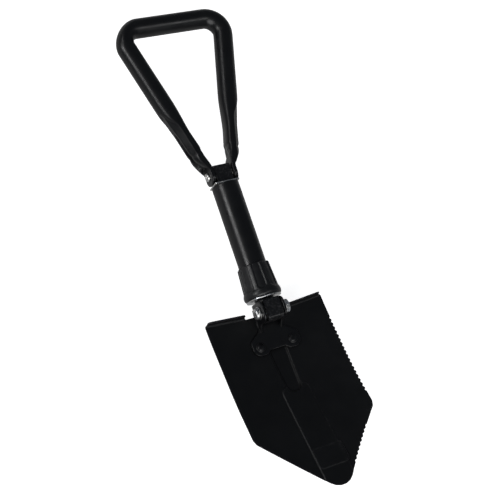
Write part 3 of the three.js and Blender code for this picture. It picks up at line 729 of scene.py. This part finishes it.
def make_bracket_rivet(side, sign):
    x, y = sign * RIVET[0], RIVET[1]
    base = BRACKET_FOOT + BRACKET_SHEET + 0.1
    profile = [
        (0.0, -2.9), (2.6, -2.85), (4.0, -2.4), (4.6, -1.5), (4.6, -1.0), (2.5, -1.0),
        (2.5, base), (5.3, base), (5.35, base + 0.5), (5.1, base + 1.0), (4.5, base + 1.3),
        (3.9, base + 1.35), (3.6, base + 1.5), (3.1, base + 1.9), (2.2, base + 2.25),
        (1.1, base + 2.4), (0.0, base + 2.42),
    ]
    rivet = lathe("bracket_rivet_" + side + "_finish", profile, "z", (x, y, 0), COAT, 64)
    slope = (blade_rise(x, y - 1) - blade_rise(x, y + 1)) / 2
    level = sheet_level(x, y)
    for vertex in rivet.data.vertices:
        vertex.co.z += (level - slope * ((vertex.co.y - DATUM.y) / MM - y)) * MM
    edge_wear_and_highlight(rivet)
    return finish_piece(rivet, "blade", "black_coat", "bracket_rivet_" + side)


make_bracket()
make_bracket_rivet("left", -1)
make_bracket_rivet("right", 1)

# ---- blade hinge ------------------------------------------------------------------------

HINGE_BORE_R = 4.3

def make_hinge_block(node):
    piece = bevelled(node, 0.7, COAT)
    edge_wear_and_highlight(piece)
    return finish_piece(piece, "core", "black_coat", node)


def make_bolt():
    low, high = cad_box("blade_hinge_bolt")
    head = low.x
    profile = [(0, head)] + [(r, head) for r in np.arange(0.3, 4.0, 0.3)]
    profile += [(4.3, head + 0.03), (5.1, head + 0.3), (5.8, head + 0.9), (6.3, head + 1.8)]
    profile += [(6.5, head + 2.9), (6.45, head + 4.1), (6.2, head + 4.2), (4, head + 4.2)]
    end = high.x
    profile += [(4, end - 0.8), (3.75, end - 0.3), (3.3, end), (0, end)]

    def slotted(radius, height, angle):
        across = np.abs(radius * np.sin(angle + 0.5))
        depth = 1.3 * (1 - smooth(across, 0.55, 0.85)) * (height < head + 0.5)
        return radius, height + depth

    bolt = lathe("hinge_bolt_finish", profile, "x", (0, 0, PIN_Z), ZINC, 160, slotted)
    return finish_piece(bolt, "core", "zinc_plate", "blade_hinge_bolt")


def make_nut():
    low, high = cad_box("blade_hinge_nut")
    flats = (high.y - low.y) / 2
    foot, top = low.x, high.x
    heights = np.linspace(foot, top, 21)
    profile = [(HINGE_BORE_R, foot)] + [(7.2, h) for h in heights]
    profile += [(5.6, top), (4.6, top), (HINGE_BORE_R, top - 0.3)]

    def hexagonal(radius, height, angle):
        turn = (angle + math.pi / 6) % (math.pi / 3) - math.pi / 6
        corner = flats / np.cos(turn)
        end = np.minimum(top - height, height - foot)
        chamfer = flats - 0.25 + np.sqrt(np.maximum(end, 0) * 1.6)
        return np.where(radius > 7, np.minimum(corner, chamfer), radius), height

    nut = lathe("hinge_nut_finish", profile, "x", (0, 0, PIN_Z), ZINC, 180, hexagonal)
    nut.data.set_sharp_from_angle(angle=math.radians(24))
    return finish_piece(nut, "core", "zinc_plate", "blade_hinge_nut")


def make_pin_washer(side):
    node = "bolt_washer_" + side
    low, high = cad_box(node)
    radius, rim = (high.y - low.y) / 2, 0.25
    profile = [
        (HINGE_BORE_R, low.x), (radius - rim, low.x), (radius, low.x + rim),
        (radius, high.x - rim), (radius - rim, high.x), (HINGE_BORE_R, high.x),
    ]
    washer = lathe(node + "_finish", profile, "x", (0, 0, PIN_Z), ZINC, 72)
    return finish_piece(washer, "core", "zinc_plate", node)


make_hinge_block("blade_hinge_block")
make_hinge_block("handle_hinge_block")
make_bolt()
make_nut()
make_pin_washer("left")
make_pin_washer("right")

# ---- shaft tube, collar and ring ------------------------------------------------------------


def make_tube():
    low, high = cad_box("shaft_tube")
    radius, wall, foot, top = high.x, 1.5, low.y, high.y
    profile = [(radius - wall, foot), (radius, foot)]
    profile += [(radius, y) for y in np.linspace(foot + 4, top - 1, 20)]
    profile += [(radius - 0.1, top - 0.45), (radius - 0.35, top - 0.12), (radius - 0.7, top)]
    profile += [(radius - wall, top)]
    tube = lathe("shaft_tube_finish", profile, "y", (0, 0, 0), COAT, 128)
    return finish_piece(tube, "shaft", "black_coat", "shaft_tube")


def make_bearing_plate():
    plate = bevelled("top_bearing_plate", 0.3, ZINC)
    return finish_piece(plate, "shaft", "zinc_plate", "top_bearing_plate")


def make_thrust_washer():
    washer = bevelled("collar_thrust_washer", 0.25, ZINC)
    return finish_piece(washer, "washer", "zinc_plate", "collar_thrust_washer")


FLUTES = 8
FLUTE_PHASE = math.radians(9.5)
FLUTE_DEPTH = 1.25
RIDGE_HALF = 2.1  # half the width of a ridge between two flutes
CROWN_R = 18.6
LIP_HEIGHT = 8.8
SLEEVE_BORE_R = 13.7
TUBE_BORE_R = 16.35
CHAMBER_R, CHAMBER_TOP, CHAMBER_FOOT = 17.4, 30.0, 19.2  # room for the threaded sleeve


def make_collar():
    low, high = cad_box("locking_collar")
    foot, top = low.y, high.y
    lip = high.x
    waist = lip - 1.2
    knots = [
        (SLEEVE_BORE_R, foot), (lip - 3.2, foot), (lip - 1.4, foot + 0.35),
        (lip - 0.45, foot + 1.3), (lip, foot + 3.2), (lip - 0.05, foot + 5.2),
        (lip - 0.5, foot + 7.2), (waist, foot + LIP_HEIGHT),
    ]
    body = [
        (waist - (waist - CROWN_R) * t, foot + LIP_HEIGHT + (top - 1.3 - foot - LIP_HEIGHT) * t)
        for t in np.linspace(0, 1, 40)[1:]
    ]
    rim = [
        (CROWN_R - 0.15, top - 0.7), (CROWN_R - 0.5, top - 0.2), (CROWN_R - 1.0, top),
        (TUBE_BORE_R, top),
    ]
    inside = [(TUBE_BORE_R, y) for y in np.linspace(top - 2, CHAMBER_TOP + 1, 10)]
    inside += [(CHAMBER_R, CHAMBER_TOP), (CHAMBER_R, CHAMBER_FOOT), (SLEEVE_BORE_R, CHAMBER_FOOT)]
    smooth_knots = []
    for (r0, y0), (r1, y1) in zip(knots, knots[1:]):
        smooth_knots += [(r0 + (r1 - r0) * t, y0 + (y1 - y0) * t) for t in (0, 0.5)]
    profile = smooth_knots + knots[-1:] + body + rim + inside

    def fluted(radius, height, angle):
        pitch = 2 * math.pi / FLUTES
        off = np.abs((angle - FLUTE_PHASE + pitch / 2) % pitch - pitch / 2)
        run = smooth(off * radius, RIDGE_HALF, RIDGE_HALF + 1.1)
        level = height - (foot + 9.6) - 1.6 * np.cos(np.clip(off / (pitch / 2), 0, 1) * math.pi)
        deep = smooth(level, -0.8, 1.0) * (radius > CHAMBER_R + 0.1)
        return radius - FLUTE_DEPTH * run * deep, height

    collar = lathe("locking_collar_finish", profile, "y", (0, 0, 0), NYLON, 360, fluted)
    collar.data.set_sharp_from_angle(angle=math.radians(70))
    edge_wear_and_highlight(collar)
    return finish_piece(collar, "collar", "black_nylon", "locking_collar")


make_tube()
make_bearing_plate()
make_thrust_washer()
make_collar()

# ---- D handle --------------------------------------------------------------------------------

GRIP_R = 11.6
BAR_Y = 195.1
BAR_HALF = 67.4
LEG_SLOPE = 0.2686
CORNER_R = 20.0
LUG_X = (11.1, 16.4)
LUG_END = 10.5
LUG_HALF_Z = 12
LUG_CORNER_R = 9
SHAFT_TOP = 155.2
TUBE_DROP, FOLD_END = 9.5, 170  # the tube's travel and the fold in degrees that goes with it
TUBE_CLEARANCE = 17.1
PLATE_CLEARANCE, PLATE_HALF_Z = 15.7, 13
PRESS_TILT = math.radians(41)
AROUND = 80
CORNER_STEPS = 24


def leg_x(y):
    """The middle of the straight leg at a height above the pin."""
    return BAR_HALF - LEG_SLOPE * (BAR_Y - y)


def blend(y, *knots):
    """A smooth function of height through (height, value) knots."""
    heights, values = zip(*knots)
    y = float(np.clip(y, heights[0], heights[-1]))
    for (y0, v0), (y1, v1) in zip(knots, knots[1:]):
        if y <= y1:
            return v0 + (v1 - v0) * float(smooth(y, y0, y1))
    return values[-1]


def leg_station(y):
    """Centre and half widths of the leg or lug at a height above its pin."""
    straight = leg_x(y)
    outer = blend(y, (2, LUG_X[1]), (26, leg_x(26) + 6.9), (36, leg_x(36) + 7.8))
    inner = blend(y, (4, LUG_X[0]), (36, leg_x(36) - 8.2))
    width = GRIP_R * (1 - 0.32 * float(smooth(95 - y, 0, 45))) * math.hypot(1, LEG_SLOPE)
    share = float(smooth(y, 28, 36))
    centre = (outer + inner) / 2 * (1 - share) + straight * share
    half = (outer - inner) / 2 * (1 - share) + width * share
    return centre, half


def section(half, depth, power):
    """A rounded section as (outward, z) offsets."""
    psi = np.linspace(0, 2 * math.pi, AROUND, endpoint=False)
    cos, sin = np.cos(psi), np.sin(psi)
    out = half * np.sign(cos) * np.abs(cos) ** (2 / power)
    return out, depth * np.sign(sin) * np.abs(sin) ** (2 / power)


def leg_ring(y):
    """The leg's section at a height above its pin."""
    centre, half = leg_station(y)
    step = 0.5
    slope = (leg_station(y + step)[0] - leg_station(y - step)[0]) / (2 * step)
    length = math.hypot(1, slope)
    outward = np.array([1, -slope, 0]) / length
    half /= length
    past = max(LUG_CORNER_R - LUG_END - y, 0)
    tall = LUG_HALF_Z - LUG_CORNER_R + math.sqrt(max(LUG_CORNER_R**2 - past**2, 0))
    depth = min(tall, blend(y, (0, LUG_HALF_Z), (30, 11.9), (95, GRIP_R)))
    power = blend(y, (6, 7), (26, 3.0), (60, 2.5), (95, 2))
    out, z = section(half, depth, power)
    out, z = pressed(out, z, y)
    points = np.array([centre, y, 0]) + out[:, None] * outward
    points[:, 2] = z
    return clear_of_shaft(points)


def pressed(out, z, y):
    """The leg's outer side, pressed into two sloping faces with a channel between them."""
    entry = 90 - 0.14 * z**2
    depth = smooth(entry - y, 0, 8) * smooth(y, 10, 30)
    cos, sin = math.cos(PRESS_TILT), math.sin(PRESS_TILT)
    limit = blend(y, (30, 9.4), (60, 9.1), (84, 10.0))
    excess = np.maximum(out * cos + np.abs(z) * sin - limit, 0) * depth * (out > -2)
    out = out - excess * cos
    z = z - np.sign(z) * excess * sin
    flat = GRIP_R - (GRIP_R - blend(y, (50, 7.5), (80, 9.2))) * depth
    out = np.minimum(out, flat)
    width = blend(y, (7, 11.5), (16, 4.4), (26, 2.9), (50, 2.3), (62, 0.9))
    deep = blend(y, (2, 0), (14, 5.2), (30, 5.0), (50, 3.2), (64, 0))
    wall = smooth(np.abs(z), width - 0.9, width + 0.7)
    return np.where(out > 0, out - deep * (1 - wall), out), z


def clear_of_shaft(points):
    """Dishes the inner faces where the shaft tube lies between the folded legs."""
    for angle in range(130, FOLD_END + 1, 4):
        turn = math.radians(180 - angle)
        start = HANDLE_PIN_Y - SHAFT_TOP + TUBE_DROP * angle / FOLD_END - 0.6
        along = points[:, 1] * math.cos(turn) - points[:, 2] * math.sin(turn)
        across = points[:, 1] * math.sin(turn) + points[:, 2] * math.cos(turn)
        reach = np.sqrt(np.maximum(TUBE_CLEARANCE**2 - across**2, 0))
        near_plate = (along < start + 4) & (np.abs(across) < PLATE_HALF_Z)
        plate = np.where(near_plate, PLATE_CLEARANCE, 0)
        wanted = np.where(along > start, np.maximum(reach, plate), 0)
        points[:, 0] = np.maximum(points[:, 0], wanted)
    return points


def corner_and_bar_rings(outer_pull, inner_pull):
    """Rings from the top of a leg round the corner to the middle of the bar. The bend draws
    the outer wall in and moves the inner wall outwards by the two pulls."""
    turn = math.pi / 2 + math.atan(LEG_SLOPE)
    reach = CORNER_R * math.tan(turn / 2)
    down = np.array([-LEG_SLOPE, -1]) / math.hypot(1, LEG_SLOPE)
    start = np.array([BAR_HALF, BAR_Y]) + down * reach
    normal = np.array([-down[1], down[0]])
    centre = start - normal * CORNER_R
    a0 = math.atan2(normal[1], normal[0])
    rings = []
    out, z = section(GRIP_R, GRIP_R, 2)
    for k in range(CORNER_STEPS + 1):
        angle = a0 + turn * k / CORNER_STEPS
        outward = np.array([math.cos(angle), math.sin(angle), 0])
        share = math.sin(math.pi * k / CORNER_STEPS) ** 1.5
        pulled = inner_pull * smooth(-out, 0, GRIP_R) - outer_pull * smooth(out, 0, GRIP_R)
        ring = np.array([*centre, 0]) + (CORNER_R + out + pulled * share)[:, None] * outward
        ring[:, 2] = z
        rings.append(ring)
    for x in np.linspace(centre[0], 0, 22)[1:]:
        ring = np.zeros((AROUND, 3))
        ring[:, 0] = x
        ring[:, 1] = BAR_Y + out
        ring[:, 2] = z
        rings.append(ring)
    return rings, start[1]


def lug_end_rings():
    """The rounded end of the lug."""
    first = leg_ring(-LUG_END + 0.02)
    centre = first.mean(0)
    rings = []
    for k in range(4):
        grown = math.sin(math.pi / 2 * k / 4)
        size = np.array([0.35 + 0.65 * grown, 1, 0.75 + 0.25 * grown])
        ring = centre + (first - centre) * size
        ring[:, 1] = -LUG_END
        rings.append(ring)
    return rings


def make_handle():
    upper, leg_top = corner_and_bar_rings(-0.5, -0.4)
    upper_left, _ = corner_and_bar_rings(2.0, 1.4)
    heights = np.concatenate([
        np.linspace(-LUG_END + 0.05, 4, 20), np.linspace(4.6, 34, 50), np.linspace(34.8, 92, 62),
        np.linspace(94, leg_top, 32)[:-1],
    ])
    leg = lug_end_rings() + [leg_ring(y) for y in heights]
    right = leg + upper
    left = [ring * np.array([-1, 1, 1]) for ring in leg + upper_left[:-1]]
    rings = left + right[::-1]
    count = len(rings)
    faces = [tuple(range(AROUND))[::-1], tuple(range((count - 1) * AROUND, count * AROUND))]
    for i in range(count - 1):
        for k in range(AROUND):
            n = (k + 1) % AROUND
            a, b = i * AROUND, (i + 1) * AROUND
            faces.append((a + k, a + n, b + n, b + k))
    points = np.concatenate(rings) + np.array([0, HANDLE_PIN_Y, 0])
    handle = make_object("d_handle_finish", points, faces, COAT, 60)
    edge_wear_and_highlight(handle)
    return finish_piece(handle, "handle", "black_coat", "d_handle")


def make_handle_rivet():
    tip = cad_box("handle_hinge_rivet")[1].x
    grip = tip - 2.5
    half = [
        (0.0, tip - 1.9), (1.5, tip - 1.85), (1.9, tip - 1.4), (2.2, tip - 0.4), (2.6, tip - 0.05),
        (3.2, tip), (3.9, tip - 0.15), (4.6, tip - 0.7), (4.95, tip - 1.5), (5.0, grip + 0.1),
        (3.7, grip),
    ]
    profile = half + [(r, -x) for r, x in half[::-1]]
    rivet = lathe("handle_rivet_finish", profile, "x", (0, HANDLE_PIN_Y, 0), ZINC, 72)
    return finish_piece(rivet, "core", "zinc_plate", "handle_hinge_rivet")


make_handle()
make_handle_rivet()

# ---- camera, floor and lights -------------------------------------------------------


def design_point(x, y, z):
    return DATUM + Vector((x, y, z)) * MM


CAMERA_AT = design_point(-398.19, -128.65, 955.15)
CAMERA_AIM = design_point(3.22, 73.01, 0)
CAMERA_ROLL = -0.3305
LENS = 67.6


def make_camera():
    back = (CAMERA_AT - CAMERA_AIM).normalized()
    right = Vector((0, 1, 0)).cross(back).normalized()
    up = back.cross(right)
    cos, sin = math.cos(CAMERA_ROLL), math.sin(CAMERA_ROLL)
    axes = Matrix((right * cos + up * sin, up * cos - right * sin, back)).transposed()
    data = bpy.data.cameras.new("camera")
    data.lens = LENS
    camera = bpy.data.objects.new("camera", data)
    camera.matrix_world = Matrix.Translation(CAMERA_AT) @ axes.to_4x4()
    bpy.context.scene.collection.objects.link(camera)
    bpy.context.scene.camera = camera


def soft_sun(name, source, spread, power):
    """A distant soft light from a direction, as wide as its spread in degrees."""
    data = bpy.data.lights.new(name, "SUN")
    data.energy = power
    data.angle = math.radians(spread)
    light = bpy.data.objects.new(name, data)
    light.rotation_euler = Vector(source).to_track_quat("Z", "Y").to_euler()
    bpy.context.scene.collection.objects.link(light)


FLOOR_LEVEL = -0.026  # in metres; clears the D handle when it is folded back
FLOOR_R = 6.0
COVE_R = 2.5
COVE_ANGLES = np.linspace(0, math.radians(75), 10)
BENCH_DROP = 0.004
DISC_TURNS = 64


def stage_disc(name, material, level, rim, mirrored):
    """A round board with a rim of (radius, height) points, which gloss mirrors or doesn't."""
    profile = [(radius, 0.0) for radius in (0.5, 1, 2, 4, FLOOR_R)] + rim
    turns = np.linspace(0, 2 * math.pi, DISC_TURNS, endpoint=False)
    points = [(0, 0, level)]
    points += [(r * math.cos(a), r * math.sin(a), level + z) for r, z in profile for a in turns]
    faces = [(0, 1 + k, 1 + (k + 1) % DISC_TURNS) for k in range(DISC_TURNS)]
    for i in range(len(profile) - 1):
        inner = 1 + DISC_TURNS * i
        outer = inner + DISC_TURNS
        for k in range(DISC_TURNS):
            n = (k + 1) % DISC_TURNS
            faces.append((inner + k, outer + k, outer + n, inner + n))
    mesh = bpy.data.meshes.new(name)
    mesh.from_pydata(points, [], faces)
    mesh.shade_smooth()
    mesh.materials.append(material)
    board = bpy.data.objects.new(name, mesh)
    board.visible_glossy = mirrored
    bpy.context.scene.collection.objects.link(board)


def make_floor():
    """A wide, very slightly uneven pale floor that rises into a cove."""
    material, tree, shader, place = node_material("floor_finish")
    cloud = noise(tree, place, 3, 4)
    colour = blended(tree, cloud, (0.80, 0.80, 0.80), (0.83, 0.83, 0.83))
    tree.links.new(colour, shader.inputs["Base Color"])
    tree.links.new(ramp(tree, noise(tree, place, 40, 3), 0.85, 0.95), shader.inputs["Roughness"])
    bumped(tree, shader, (noise(tree, place, 400, 3), 0.05, 0.05))
    shader.inputs["Emission Color"].default_value = (1, 1, 1, 1)
    shader.inputs["Emission Strength"].default_value = 0.8
    rim = [
        (FLOOR_R + COVE_R * math.sin(a), COVE_R - COVE_R * math.cos(a)) for a in COVE_ANGLES
    ]
    stage_disc("floor", material, FLOOR_LEVEL, rim, mirrored=False)


def make_backing():
    """The darker bench under the floor, which is all that glossy pieces mirror of the stage."""
    material, tree, shader, place = node_material("bench_finish")
    cloud = noise(tree, place, 2, 3)
    colour = blended(tree, cloud, (0.20, 0.20, 0.20), (0.24, 0.24, 0.24))
    tree.links.new(colour, shader.inputs["Base Color"])
    glow = blended(tree, cloud, (0.9, 0.9, 0.9), (1, 1, 1))
    tree.links.new(glow, shader.inputs["Emission Color"])
    shader.inputs["Emission Strength"].default_value = 0.15
    stage_disc("bench", material, FLOOR_LEVEL - BENCH_DROP, [], mirrored=True)


def make_world():
    world = bpy.data.worlds.new("studio")
    world.use_nodes = True
    background = world.node_tree.nodes["Background"]
    background.inputs["Color"].default_value = (0.88, 0.97, 1.1, 1)
    background.inputs["Strength"].default_value = 0.105
    bpy.context.scene.world = world


make_camera()
make_floor()
make_backing()
make_world()
soft_sun("side_key", (-0.82, 0.22, 0.52), 18, 0.7)
soft_sun("front_fill", (0.355, -0.40, 0.845), 14, 0.2)
soft_sun("leg_fill", (-0.564, 0.60, 0.568), 14, 0.17)
soft_sun("broad_fill", (-0.30, -0.75, 0.60), 50, 1.6)
bpy.context.scene.view_settings.view_transform = "Standard"
